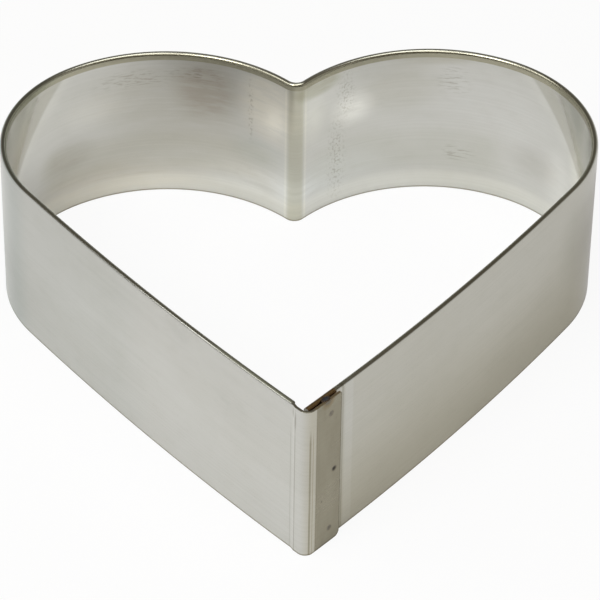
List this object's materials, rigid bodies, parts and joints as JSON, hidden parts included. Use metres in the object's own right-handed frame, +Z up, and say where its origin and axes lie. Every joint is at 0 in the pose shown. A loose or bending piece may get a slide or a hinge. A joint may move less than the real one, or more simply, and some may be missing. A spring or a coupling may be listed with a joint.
{
  "type": "heart-shaped cake ring",
  "caption": "Bottomless heart-shaped baking ring in thin stainless sheet, hemmed along its top edge, with its ends lapped and welded at the tip.",
  "frame": {"origin": "middle of the ring's bounding box, on the surface that it stands on", "axes": "+Z up through the ring, +X across the two lobes, the heart's tip towards -Y"},
  "size_m": [0.2, 0.19, 0.0602],
  "materials": {
    "stainless_sheet": "bright rolled stainless with faint handling marks",
    "weld": "heat-tinted weld metal"
  },
  "bodies": {
    "root": {"heart_band": "stainless_sheet", "spot_weld_upper": "weld", "spot_weld_middle": "weld", "spot_weld_lower": "weld", "tack_weld_top": "weld"}
  },
  "joints": []
}
